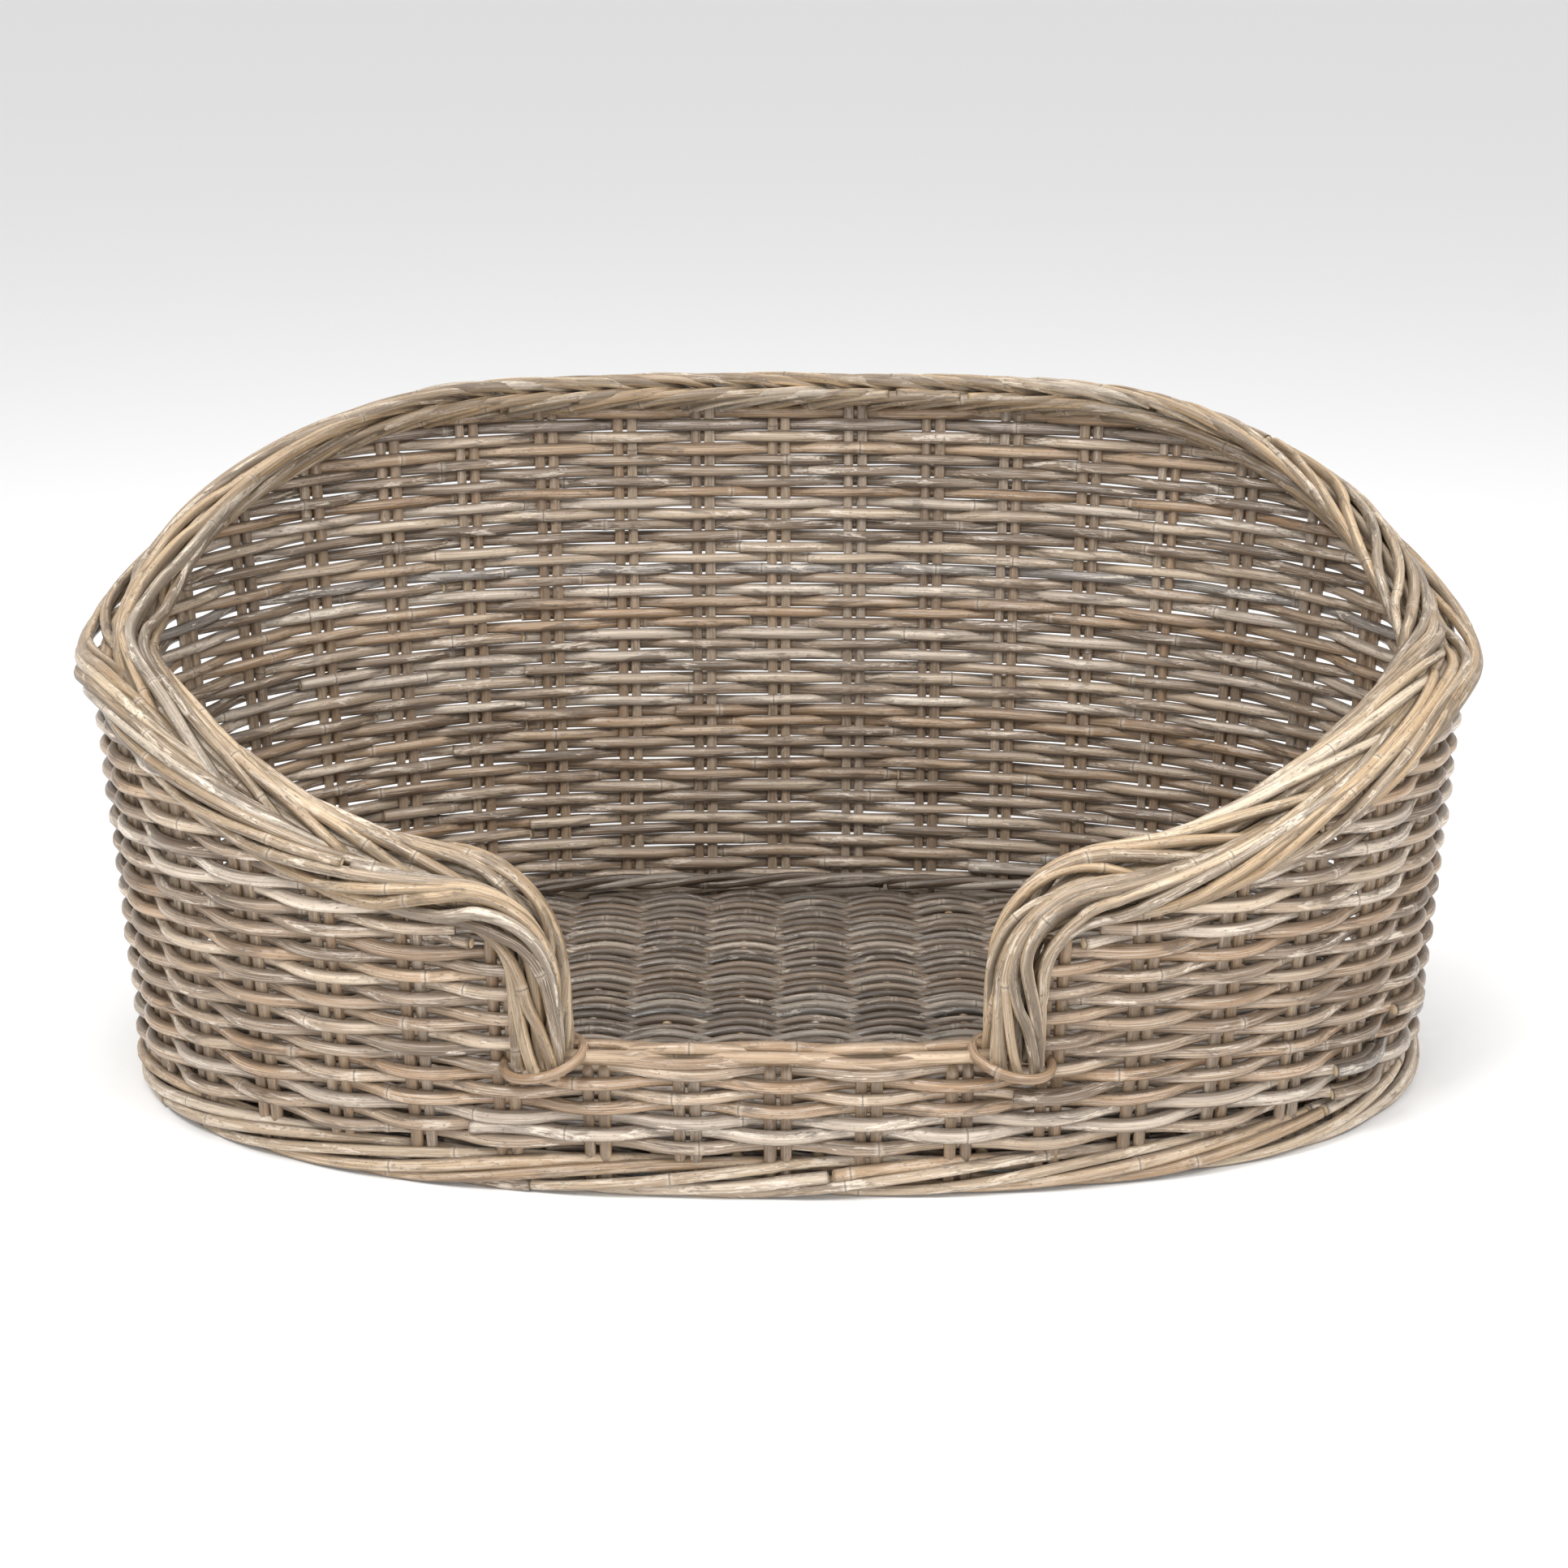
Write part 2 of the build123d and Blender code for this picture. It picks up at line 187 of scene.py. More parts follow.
def random_tone(light=(0.0, 1.0), warm=(0.0, 1.0), gloss=(0.0, 1.0)):
    """How light, warm and glossy one cane is, each from 0 to 1."""
    return np.array([rng.uniform(*light), rng.uniform(*warm), rng.uniform(*gloss)])


def random_knots(length, gap):
    """Distances of the growth rings along a cane."""
    places = np.cumsum(gap * rng.uniform(0.5, 1.6, int(3 * length / gap) + 2)) - gap * rng.uniform(0, 1)
    return places[(places > 0) & (places < length)]


def resample(values, old, new):
    return np.stack([np.interp(new, old, values[:, k]) for k in range(3)], axis=-1)


def unit(rows):
    return rows / np.linalg.norm(rows, axis=1)[:, None]


def distances(path):
    """Distance along a path up to each of its points."""
    return np.concatenate([[0.0], np.cumsum(np.linalg.norm(np.diff(path, axis=0), axis=1))])


class Canes:
    """Collects canes as tubes and makes one mesh object of them."""

    KNOT_OFFSETS = np.array([-3.5, -1.6, -0.7, 0, 0.7, 1.6, 3.5]) * MM
    KNOT_REACH = 30 * MM
    KNOT_SWELL = 0.07              # how much thicker a cane is at a knot, as a share
    KNOT_WIDTH = 2.2 * MM
    PITH = -10 * MM                # stored as the distance to a knot, to mark a cut face
    LEAST_STEP = 0.3 * MM
    SIZE_DRIFT = (0.06, 0.3)       # how much the thickness varies, as a share, and the length of its waves
    ROUNDNESS = (0.9, 1.0)         # a cane's thickness along up, as a share of that across it
    SEED_SPAN = 40                 # each cane starts at a random place in this many metres of the pattern
    CAP_INNER = 0.72               # radius of a cut face's inner ring, as a share of the cane's
    CAP_RISE = 0.16                # how far that ring stands out, as a share of the radius
    CAP_MIDDLE = 0.2               # and the middle

    def __init__(self, sides=10, step=3 * MM):
        self.sides, self.step = sides, step
        self.points, self.faces, self.cane, self.look, self.knot = [], [], [], [], []
        self.count = 0

    def add(self, path, radius, up, tone=None, taper=(1.0, 1.0), wobble=0.0, knot_gap=0.17, closed=False):
        """One cane along a dense path. up holds a vector per point that is never along the path.

        tone is from random_tone, taper the share of the radius at each end, wobble how far it strays.
        """
        run = distances(path)
        length = run[-1]
        tone = random_tone() if tone is None else tone
        knots = random_knots(length, knot_gap)
        near = (knots[:, None] + self.KNOT_OFFSETS).ravel()
        even = np.linspace(0, length, max(int(length / self.step), 3) + 1)
        place = np.unique(np.concatenate([even, near[(near > 0) & (near < length)]]))
        keep = np.concatenate([[True], np.diff(place) > self.LEAST_STEP])
        keep[-1] = True
        place = place[keep]
        centre = resample(path, run, place)
        along = unit(np.gradient(centre, place, axis=0))
        side = unit(np.cross(along, resample(up, run, place)))
        over = np.cross(side, along)
        if wobble:
            centre = centre + over * wander(wobble)(place)[:, None] + side * wander(wobble)(place)[:, None]
        knot = np.full(len(place), self.KNOT_REACH)
        if len(knots):
            knot = np.minimum(knot, np.min(np.abs(place[:, None] - knots), axis=1))
        size = radius * np.interp(place, [0, length], taper) * (1 + wander(*self.SIZE_DRIFT)(place))
        size = size * (1 + self.KNOT_SWELL * np.exp(-((knot / self.KNOT_WIDTH) ** 2)))
        angle = TAU * np.arange(self.sides) / self.sides
        cos, sin = np.cos(angle), np.sin(angle) * rng.uniform(*self.ROUNDNESS)
        spokes = cos[:, None] * side[:, None] + sin[:, None] * over[:, None]
        rings = centre[:, None] + size[:, None, None] * spokes
        seed = rng.uniform(0, self.SEED_SPAN)
        local = np.empty(rings.shape)
        local[..., 0] = (place + seed)[:, None]
        local[..., 1] = size[:, None] * cos
        local[..., 2] = size[:, None] * sin
        start = self.count
        self.store(rings.reshape(-1, 3), local.reshape(-1, 3), tone, np.repeat(knot, self.sides))
        rows = np.arange(len(place) - 1)[:, None] * self.sides
        j = np.arange(self.sides)[None]
        k = (j + 1) % self.sides
        quads = np.stack([rows + j, rows + k, rows + self.sides + k, rows + self.sides + j], axis=-1)
        self.faces.append(quads.reshape(-1, 4) + start)
        if closed:
            last = start + (len(place) - 1) * self.sides
            self.faces.append(np.stack([last + j[0], last + k[0], start + k[0], start + j[0]], axis=-1))
            return
        for ring, facing in ((0, -1), (len(place) - 1, 1)):
            out = along[ring] * facing
            self.cap(start + ring * self.sides, rings[ring], out, size[ring], place[ring] + seed, tone)

    def store(self, points, local, tone, knot):
        self.points.append(points)
        self.cane.append(local)
        self.look.append(np.broadcast_to(tone, (len(points), 3)))
        self.knot.append(knot)
        self.count += len(points)

    def cap(self, ring_start, ring, out, size, place, tone):
        """Close an end with a cut face: a rounded edge and a pale middle."""
        middle = ring.mean(axis=0)
        inner = middle + (ring - middle) * self.CAP_INNER + out * size * self.CAP_RISE
        start = self.count
        points = np.concatenate([inner, [middle + out * size * self.CAP_MIDDLE]])
        local = np.concatenate([np.full((len(points), 1), place), (points - middle)[:, 1:]], axis=1)
        self.store(points, local, tone, np.full(len(points), self.PITH))
        j = np.arange(self.sides)
        k = (j + 1) % self.sides
        edge = np.stack([ring_start + j, ring_start + k, start + k, start + j], axis=-1)
        centre = np.full_like(j, start + self.sides)
        fan = np.stack([start + j, start + k, centre, centre], axis=-1)
        area = np.cross(ring[1] - ring[0], ring[2] - ring[1])
        if np.dot(area, out) < 0:
            edge, fan = edge[:, [1, 0, 3, 2]], fan[:, [1, 0, 2, 3]]
        self.faces += [edge, fan]

    def build(self, name, material, slot, nodes):
        """Make the mesh object and tie it to the frame."""
        points = np.concatenate(self.points)
        faces = np.concatenate(self.faces)
        fans = faces[:, 2] == faces[:, 3]
        quads, tris = faces[~fans], faces[fans][:, :3]
        mesh = bpy.data.meshes.new(name)
        mesh.vertices.add(len(points))
        mesh.vertices.foreach_set("co", points.astype(np.float32).ravel())
        loops = np.concatenate([quads.ravel(), tris.ravel()])
        mesh.loops.add(len(loops))
        mesh.loops.foreach_set("vertex_index", loops.astype(np.int32))
        sizes = np.concatenate([np.full(len(quads), 4), np.full(len(tris), 3)])
        mesh.polygons.add(len(sizes))
        mesh.polygons.foreach_set("loop_start", (np.cumsum(sizes) - sizes).astype(np.int32))
        mesh.polygons.foreach_set("loop_total", sizes.astype(np.int32))
        mesh.update(calc_edges=True)
        mesh.polygons.foreach_set("use_smooth", np.ones(len(sizes), bool))
        for key, rows in (("cane", self.cane), ("look", self.look)):
            layer = mesh.attributes.new(key, "FLOAT_VECTOR", "POINT")
            layer.data.foreach_set("vector", np.concatenate(rows).astype(np.float32).ravel())
        layer = mesh.attributes.new("knot", "FLOAT", "POINT")
        layer.data.foreach_set("value", np.concatenate(self.knot).astype(np.float32))
        piece = bpy.data.objects.new(name, mesh)
        bpy.context.scene.collection.objects.link(piece)
        mesh.materials.append(material)
        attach(piece, "root")
        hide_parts(*nodes)
        return piece


# ---- material --------------------------------------------------------------------------------------
SLATE = (0.15, 0.155, 0.16)
CRACK = (0.035, 0.028, 0.022)
KNOT_LINE = (0.06, 0.043, 0.03)
PITH_DARK = (0.52, 0.39, 0.24)
PITH_LIGHT = (0.62, 0.50, 0.33)


def cane_material(
    name, dark, mid, light, wash, warm, wash_amount=0.35, spots=0.5, threads=0.4, rough_base=0.42, slate=0.0
):
    """Weathered rattan: streaks along the cane, grey wash, flaked skin, specks, growth rings, satin sheen.

    The five colours are linear. wash_amount, spots, threads and slate say how strong the grey wash, the dark
    cracks, the pale threads and the slate-coloured canes are, from 0 to 1.
    """
    material = bpy.data.materials.new(name)
    material.use_nodes = True
    nodes, links = material.node_tree.nodes, material.node_tree.links
    nodes.clear()

    def node(kind, **values):
        made = nodes.new(kind)
        for key, value in values.items():
            setattr(made, key, value)
        return made

    def plug(socket, value):
        if isinstance(value, bpy.types.NodeSocket):
            links.new(value, socket)
        else:
            socket.default_value = value

    def math_node(kind, a, b=0.0, clamp=False):
        made = node("ShaderNodeMath", operation=kind, use_clamp=clamp)
        plug(made.inputs[0], a)
        plug(made.inputs[1], b)
        return made.outputs[0]

    def times(a, b):
        return math_node("MULTIPLY", a, b)

    def plus(a, b):
        return math_node("ADD", a, b)

    def dim(rgb, share):
        return tuple(share * part for part in rgb)

    def mix(amount, a, b):
        made = node("ShaderNodeMix", data_type="RGBA")
        plug(made.inputs[0], amount)
        plug(made.inputs[6], a if isinstance(a, bpy.types.NodeSocket) else (*a, 1.0))
        plug(made.inputs[7], b if isinstance(b, bpy.types.NodeSocket) else (*b, 1.0))
        return made.outputs[2]

    def ramp(value, low, high, low_out=0.0, high_out=1.0):
        made = node("ShaderNodeMapRange", interpolation_type="SMOOTHSTEP")
        plug(made.inputs[0], value)
        for index, number in enumerate((low, high, low_out, high_out), start=1):
            made.inputs[index].default_value = number
        return made.outputs[0]

    def noise(scale, detail=2.0, rough=0.5, warp=0.0, offset=0.0):
        """Noise in straightened cane space; scale is (along, across) per metre."""
        mapping = node("ShaderNodeMapping")
        links.new(cane, mapping.inputs["Vector"])
        mapping.inputs["Location"].default_value = (offset, offset, 0.0)
        mapping.inputs["Scale"].default_value = (scale[0], scale[1], scale[1])
        made = node("ShaderNodeTexNoise")
        links.new(mapping.outputs[0], made.inputs["Vector"])
        made.inputs["Scale"].default_value = 1.0
        made.inputs["Detail"].default_value = detail
        made.inputs["Roughness"].default_value = rough
        made.inputs["Distortion"].default_value = warp
        return made.outputs[0]

    cane = node("ShaderNodeAttribute", attribute_name="cane").outputs["Vector"]
    look = node("ShaderNodeSeparateXYZ")
    links.new(node("ShaderNodeAttribute", attribute_name="look").outputs["Vector"], look.inputs[0])
    tone, warmth, shine = look.outputs
    place = node("ShaderNodeSeparateXYZ")
    links.new(cane, place.inputs[0])
    # painted shade: flank rises towards the two sides of each cane's section, where neighbouring canes meet;
    # the colour is darkened there further down
    flank = ramp(math_node("ABSOLUTE", place.outputs[1]), 2.4 * MM, 4.4 * MM)
    knot = node("ShaderNodeAttribute", attribute_name="knot").outputs["Fac"]

    # Patterns, from fine threads along the cane to broad changes of tone.
    streak = noise((11.0, 800.0), 3.0, 0.65)
    thread = noise((22.0, 2400.0), 2.0, 0.6, offset=23.0)
    broad = noise((6.0, 60.0), 2.0, 0.5, offset=3.0)
    patch = noise((24.0, 150.0), 4.0, 0.68, 0.8, offset=7.0)
    fine = noise((120.0, 1100.0), 2.0, 0.6, offset=11.0)
    speck = noise((300.0, 620.0), 2.0, 0.6, offset=17.0)
    grime = noise((14.0, 90.0), 4.0, 0.7, 1.2, offset=29.0)

    # The cane's own colour, then streaks, threads and grime.
    shade = plus(times(tone, 0.66), times(ramp(broad, 0.32, 0.68), 0.34))
    colour = mix(ramp(shade, 0.02, 0.55), dark, mid)
    colour = mix(ramp(shade, 0.45, 0.98), colour, light)
    colour = mix(times(ramp(warmth, 0.5, 1.0), 0.6), colour, warm)
    colour = mix(times(ramp(warmth, 0.22, 0.1), 0.45), colour, wash)
    colour = mix(times(ramp(shine, 0.84, 0.94), slate), colour, SLATE)
    streaks = ramp(streak, 0.36, 0.68)
    colour = mix(times(streaks, 0.5), colour, dim(dark, 0.5))
    colour = mix(times(ramp(thread, 0.50, 0.68), threads), colour, wash)
    colour = mix(times(ramp(grime, 0.52, 0.64), 0.6), colour, dim(dark, 0.55))

    # Grey wash and cracked skin in patches.
    edge = 0.60 - 0.12 * wash_amount
    washed = times(ramp(patch, edge, edge + 0.07), ramp(fine, 0.30, 0.55))
    washed = times(washed, ramp(warmth, 1.0, 0.2, 0.25, 1.0))
    colour = mix(times(washed, 0.8), colour, wash)
    cracks = ramp(speck, 0.60, 0.67)
    cracks = times(cracks, ramp(patch, 0.42, 0.60, 0.3, 1.0))
    colour = mix(times(cracks, spots), colour, CRACK)

    # Growth rings, painted shade on the flanks of each cane where it meets its neighbours, and cut faces.
    ring_line = ramp(knot, 0.2 * MM, 0.9 * MM, 1.0, 0.0)
    ring_pale = ramp(knot, 0.8 * MM, 4.2 * MM, 1.0, 0.0)
    colour = mix(times(ring_pale, 0.22), colour, wash)
    colour = mix(times(ring_line, 0.55), colour, KNOT_LINE)
    # painted shade: the flanks are darkened, by an amount that varies along the cane, to stand in for the
    # shade between touching canes
    flank_shade = times(flank, ramp(broad, 0.3, 0.7, 0.35, 0.8))
    colour = mix(flank_shade, colour, dim(dark, 0.6))
    pith = ramp(knot, -0.5 * MM, -4 * MM)
    colour = mix(pith, colour, mix(ramp(speck, 0.4, 0.6), PITH_DARK, PITH_LIGHT))

    rough = ramp(shine, 0.0, 1.0, rough_base + 0.14, rough_base - 0.10)
    rough = plus(rough, times(washed, 0.25))
    rough = math_node("ADD", rough, times(streaks, 0.06), clamp=True)

    height = times(streak, -0.6)
    height = plus(height, times(thread, 0.35))
    height = plus(height, times(washed, 0.5))
    height = math_node("SUBTRACT", height, times(cracks, 0.6))
    height = plus(height, times(fine, 0.25))
    height = math_node("SUBTRACT", height, times(ring_line, 0.8))
    bump = node("ShaderNodeBump")
    bump.inputs["Strength"].default_value = 0.5
    bump.inputs["Distance"].default_value = 0.6 * MM
    links.new(height, bump.inputs["Height"])

    shader = node("ShaderNodeBsdfPrincipled")
    links.new(colour, shader.inputs["Base Color"])
    links.new(rough, shader.inputs["Roughness"])
    links.new(bump.outputs[0], shader.inputs["Normal"])
    shader.inputs["Specular IOR Level"].default_value = 0.5
    output = node("ShaderNodeOutputMaterial")
    links.new(shader.outputs[0], output.inputs[0])
    return material


SIDING = cane_material(
    "cane_siding",
    dark=(0.125, 0.086, 0.058), mid=(0.35, 0.256, 0.175), light=(0.6, 0.477, 0.349),
    wash=(0.74, 0.649, 0.549), warm=(0.4, 0.239, 0.121),
    threads=0.5, rough_base=0.28, slate=0.75,
)
STAKE = cane_material(
    "cane_stake",
    dark=(0.22, 0.153, 0.102), mid=(0.4, 0.286, 0.186), light=(0.54, 0.42, 0.293),
    wash=(0.6, 0.516, 0.428), warm=(0.4, 0.253, 0.14),
    wash_amount=0.2, spots=0.4, rough_base=0.24,
)
RIM = cane_material(
    "cane_rim",
    dark=(0.13, 0.091, 0.06), mid=(0.37, 0.267, 0.167), light=(0.64, 0.487, 0.312),
    wash=(0.76, 0.659, 0.535), warm=(0.52, 0.344, 0.177),
    wash_amount=0.45, spots=0.6, threads=0.5, rough_base=0.33, slate=0.35,
)
FOOT = cane_material(
    "cane_foot",
    dark=(0.19, 0.134, 0.093), mid=(0.38, 0.282, 0.186), light=(0.55, 0.43, 0.298),
    wash=(0.72, 0.63, 0.53), warm=(0.4, 0.253, 0.13),
    wash_amount=0.75, rough_base=0.45,
)
FLOOR = cane_material(
    "cane_floor",
    dark=(0.04, 0.029, 0.02), mid=(0.125, 0.088, 0.06), light=(0.26, 0.191, 0.135),
    wash=(0.46, 0.392, 0.316), warm=(0.15, 0.092, 0.051),
    wash_amount=0.3, spots=0.6, threads=0.3, rough_base=0.28, slate=0.3,
)
GLOSSY = cane_material(
    "cane_glossy",
    dark=(0.22, 0.143, 0.088), mid=(0.39, 0.272, 0.172), light=(0.52, 0.392, 0.26),
    wash=(0.64, 0.544, 0.437), warm=(0.32, 0.191, 0.102),
    wash_amount=0.15, spots=0.3, rough_base=0.26,
)


# ---- siding: rows of woven cane --------------------------------------------------------------------
WEAVER_RADIUS = 4.75 * MM
OUTER_DEPTH = 7.4 * MM        # how far a weaver's middle stands outside a stake pair's middle
INNER_DEPTH = 4.9 * MM
WEAVE_SHARPNESS = 0.6
LOW_SAG = 3.4 * MM            # how much lower a weaver of the back is outside a pair than inside, at the foot
HIGH_SAG = 1.9 * MM           # and at the rim
SAG_TURN = (30, 90)           # degrees from the back over which the sag fades away
FIRST_ROW = FOOT_HEIGHT + 4 * MM
RIM_OVERLAP = 15 * MM         # the rows run this far up into the rim
ROW_OVERLAP = 0.5 * MM        # between neighbouring rows
ROW_SIZES = (0.9, 1.1)        # thickness of a row's canes, as a share
SILL_ROW_GAP = 2 * MM         # rows at least this much lower than the sill go right round
ARM_ROW_START = 2.65          # station inside the upright end of the rim
BEND_DROP = 62 * MM           # from the arm's middle line down to where the rows' starts leave that station
BEND_FADE = 38 * MM           # height over which they move on to the bend's station
JOIN_HEAD = 0.42              # stations by which a cane starts before a join
JOIN_TAIL = 0.38              # and by which the cane before it runs on
JOIN_LIFT = 1.5               # radii by which it is pushed outward there
JOIN_REACH = 0.9              # stations over which it comes back in
JOIN_POWER = 0.6              # below 1, it comes back in late
CANE_REACH = (11, 26)         # stations that one cane of a row spans
SHORT_CANE = 6                # a rest shorter than this is taken up by the cane before it
CANE_SIZES = (0.94, 1.06)     # thickness of one cane, as a share of that of its row or strand
HEAD_TAPER = (0.95, 1.04)     # thickness of a cane's two ends, as shares
TAIL_TAPER = (0.92, 1.03)
RING_START = (8, 30)          # stations between which a full ring starts
SHARED_RISE = (1.8 * MM, 0.5)     # height and length of the waves that all rows share
ROW_RIPPLE = (0.45 * MM, 0.1)     # and of each row's own
DENSE = 1.2 * MM              # spacing of the points that a path is laid through

PANELS = {"front_sill": (-3.2, 3.2), "back_middle": (18.5, 21.5)}
for place, (start, end) in {
    "arm": (3.25, 5.5), "front_corner": (5.5, 7.5), "front_side": (7.5, 9.5), "side": (9.5, 11.5),
    "back_side": (11.5, 13.5), "back_corner": (13.5, 15.5), "back": (15.5, 18.5),
}.items():
    PANELS[f"right_{place}"] = (start, end)
    PANELS[f"left_{place}"] = (STAKE_PAIRS - end, STAKE_PAIRS - start)


def weave(station, row):
    """Where a row is: from 1 outside a stake pair to -1 inside it, through 0 between pairs."""
    return np.tanh(WEAVE_SHARPNESS * np.cos(PI * (station + row + 1))) / math.tanh(WEAVE_SHARPNESS)


def row_ends(height):
    """First and last station of a row, counted through the back, or None for a full ring."""
    if height < SILL_HEIGHT - SILL_ROW_GAP:
        return None
    stations = np.linspace(RIM_BEND_STATION, STAKE_PAIRS / 2, 4000)
    first = stations[siding_top(turn_at(stations)) > height - RIM_OVERLAP][0]
    if first == RIM_BEND_STATION:
        bend_foot = float(rim_height(turn_at(RIM_BEND_STATION))) - BEND_DROP
        share = float(smooth((height - bend_foot) / BEND_FADE))
        first = ARM_ROW_START + (RIM_BEND_STATION - ARM_ROW_START) * share
    return float(first), float(STAKE_PAIRS - first)


def row_path(first, last, height, row, rise, push):
    """Path of one cane of a row; push(station) moves it outward where it joins the next."""
    stations = np.linspace(first, last, max(int((last - first) * PITCH / DENSE), 8))
    turn = turn_at(stations)
    side = weave(stations, row)
    depth = np.where(side > 0, OUTER_DEPTH, INNER_DEPTH) * side + push(stations)
    sag = LOW_SAG + (HIGH_SAG - LOW_SAG) * height / RIM_BACK_HEIGHT
    sag = sag * smooth((SAG_TURN[1] - from_back(turn)) / (SAG_TURN[1] - SAG_TURN[0]))
    level = height + rise(stations * PITCH) - sag * depth / (OUTER_DEPTH + INNER_DEPTH)
    return wall(turn, level, depth), outward(turn)


shared_rise = wander(*SHARED_RISE)


def lay_row(row, height, thick):
    """One row of weaving, of one to four canes whose ends lie over each other at a stake pair."""
    canes = Canes()
    ends = row_ends(height)
    if ends:
        first, last = ends
    else:
        first = float(rng.integers(*RING_START))
        last = first + STAKE_PAIRS
    ripple = wander(*ROW_RIPPLE)
    place = first
    while place < last - 0.01:
        stop = float(round(place + rng.uniform(*CANE_REACH)))
        if last - stop < SHORT_CANE:
            stop = last
        head = 0.0 if place == first and ends else JOIN_HEAD
        tail = 0.0 if stop == last and ends else JOIN_TAIL
        lift = JOIN_LIFT * thick if head else 0.0

        def push(station, place=place, lift=lift):
            return lift * np.clip(1 - (station - place) / JOIN_REACH, 0, 1) ** JOIN_POWER

        def rise(run):
            return shared_rise(run) + ripple(run)

        path, up = row_path(place - head, stop + tail, height, row, rise, push)
        size = thick * rng.uniform(*CANE_SIZES)
        taper = (rng.uniform(*HEAD_TAPER), rng.uniform(*TAIL_TAPER))
        canes.add(path, size, up, taper=taper, wobble=0.7 * MM, knot_gap=0.24)
        place = stop
    crossed = []
    for name, (start, end) in PANELS.items():
        if ends is None or (name != "front_sill" and end > ends[0] and start < ends[1]):
            crossed.append(f"siding_{name}")
    canes.build(f"siding_row_{row + 1:02d}", SIDING, "siding_cane", crossed)


rows_top = float(siding_top(PI / 2)) + RIM_OVERLAP
row, height = 0, FIRST_ROW
while height + 2 * ROW_SIZES[1] * WEAVER_RADIUS < rows_top:
    thick = WEAVER_RADIUS * rng.uniform(*ROW_SIZES)
    height += thick
    lay_row(row, height, thick)
    height += thick - ROW_OVERLAP
    row += 1


# ---- stakes ----------------------------------------------------------------------------------------
STAKE_FOOT = 6 * MM
STAKE_HEAD = 13 * MM          # the stakes run this far up into the rim
ARM_STAKE_DROP = 32 * MM      # from the arm's middle line to the top of the stakes beside the opening
STRAIGHT_TOP_DROP = 1 * MM    # from the top of the sill's siding to the odd pairs' tops
TURNED_TOP_DROP = 9 * MM      # and to where the even pairs start to bend inward
TURNED_TOP_RADIUS = 9 * MM
TURNED_TAIL_DROP = (0.2 * MM, 3 * MM)     # how far a bent top falls after its bend, first and last point
TURNED_TAIL_REACH = (1 * MM, 12 * MM)     # and how far it runs inward
STAKE_POINTS = 120
TURN_POINTS = 20
TAIL_POINTS = 8


def stake_path(pair, shift):
    """Path of one cane of a stake pair. On the sill the even pairs bend inward over the top."""
    turn = turn_at(pair)
    front = min(pair % STAKE_PAIRS, -pair % STAKE_PAIRS)
    turned = front <= LAST_SILL_PAIR and pair % 2 == 0
    if turned:
        top = SILL_HEIGHT - TURNED_TOP_DROP
    elif front <= LAST_SILL_PAIR:
        top = SILL_HEIGHT - STRAIGHT_TOP_DROP
    elif front == LAST_SILL_PAIR + 1:
        top = float(rim_height(turn_at(RIM_BEND_STATION))) - ARM_STAKE_DROP
    else:
        top = float(siding_top(turn)) + STAKE_HEAD
    heights = np.linspace(STAKE_FOOT, top, STAKE_POINTS)
    offsets = np.zeros(STAKE_POINTS)
    if turned:
        around = np.linspace(0, PI / 2, TURN_POINTS)[1:]
        heights = np.concatenate([heights, top + TURNED_TOP_RADIUS * np.sin(around)])
        offsets = np.concatenate([offsets, -TURNED_TOP_RADIUS * (1 - np.cos(around))])
        heights = np.concatenate([heights, heights[-1] - np.linspace(*TURNED_TAIL_DROP, TAIL_POINTS)])
        offsets = np.concatenate([offsets, offsets[-1] - np.linspace(*TURNED_TAIL_REACH, TAIL_POINTS)])
    turns = np.full(len(heights), float(turn))
    normal = outward(turns)
    across = np.cross(UP, normal)
    return wall(turns, heights, offsets) + across * shift, across


for name, (start, end) in PANELS.items():
    canes = Canes(sides=12)
    for pair in range(math.ceil(start), math.floor(end) + 1):
        for shift in (-STAKE_OFFSET, STAKE_OFFSET):
            path, up = stake_path(pair, shift)
            canes.add(path, STAKE_RADIUS * rng.uniform(0.93, 1.07), up, wobble=0.5 * MM, knot_gap=0.24)
    canes.build(f"stake_canes_{name}", STAKE, "stake_cane", [f"stakes_{name}"])


# ---- strands made of several canes -----------------------------------------------------------------
JOIN_GAP = 3                  # points of the path left out where one cane ends and the next begins
SHORT_REST = 60               # a rest of fewer points than this is taken up by the cane before it
REACH_SPREAD = (0.6, 1.4)     # length of a cane, as a share of the asked one


def lay_lengths(canes, path, radius, up, reach, wobble):
    """Lay one strand as canes of about this length, end to end."""
    run = distances(path)
    start = 0
    while start < len(path) - 1:
        stop = int(np.searchsorted(run, run[start] + reach * rng.uniform(*REACH_SPREAD)))
        if stop > len(path) - SHORT_REST:
            stop = len(path)
        size = radius * rng.uniform(*CANE_SIZES)
        canes.add(path[start:stop], size, up[start:stop], wobble=wobble, knot_gap=0.2)
        start = stop + JOIN_GAP


